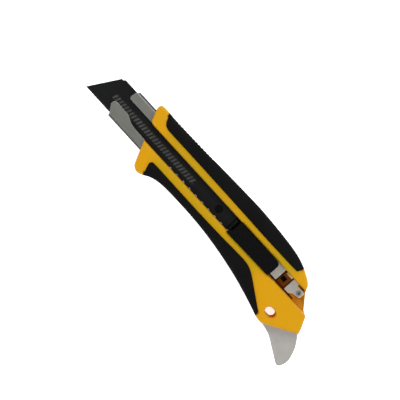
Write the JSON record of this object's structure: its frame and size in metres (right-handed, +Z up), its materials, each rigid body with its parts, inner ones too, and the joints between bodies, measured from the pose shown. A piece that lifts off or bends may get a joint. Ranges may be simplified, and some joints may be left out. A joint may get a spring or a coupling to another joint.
{
  "type": "snap-off knife",
  "caption": "Snap-off blade knife: steel channel in a moulded handle with soft grips, locking thumb slider, lanyard slot and steel tail pick.",
  "frame": {"origin": "bottom centre of the knife's bounding box as it lies on its thumb-slider side, with the blade out by two segments", "axes": "+X from the blade tip towards the tail, +Y from the cutting edge towards the spine, +Z up, away from the slider side"},
  "size_m": [0.1818, 0.0504, 0.015],
  "materials": {
    "yellow_plastic": "satin moulded glass-filled nylon",
    "black_grip": "matt soft elastomer",
    "sheath_steel": "satin stainless sheet",
    "rivet_steel": "dull",
    "pick_steel": "blasted stainless",
    "blade_steel": "black oxide with a ground edge",
    "black_plastic": "satin moulded",
    "spring_steel": "blued strip",
    "button_plastic": "satin moulded",
    "pad_rubber": "matt ribbed elastomer"
  },
  "bodies": {
    "handle": {"handle_body": "yellow_plastic", "spine_grip": "black_grip", "belly_grip": "black_grip", "sheath": "sheath_steel", "tail_rivet": "rivet_steel", "tail_pick": "pick_steel"},
    "slider": {"blade": "blade_steel", "blade_holder": "black_plastic", "slider_base": "black_plastic", "lock_spring": "spring_steel"},
    "button": {"thumb_button": "button_plastic", "thumb_pad": "pad_rubber"}
  },
  "joints": [
    {"name": "slider_slide", "type": "slide", "parent": "handle", "child": "slider", "axis": [-1, 0, 0], "range_m": [-0.02, 0.045]},
    {"name": "button_press", "type": "slide", "parent": "slider", "child": "button", "axis": [0, 0, 1], "range_m": [0, 0.0012], "stiffness_N_per_m": 800, "deforming": ["lock_spring"]}
  ]
}
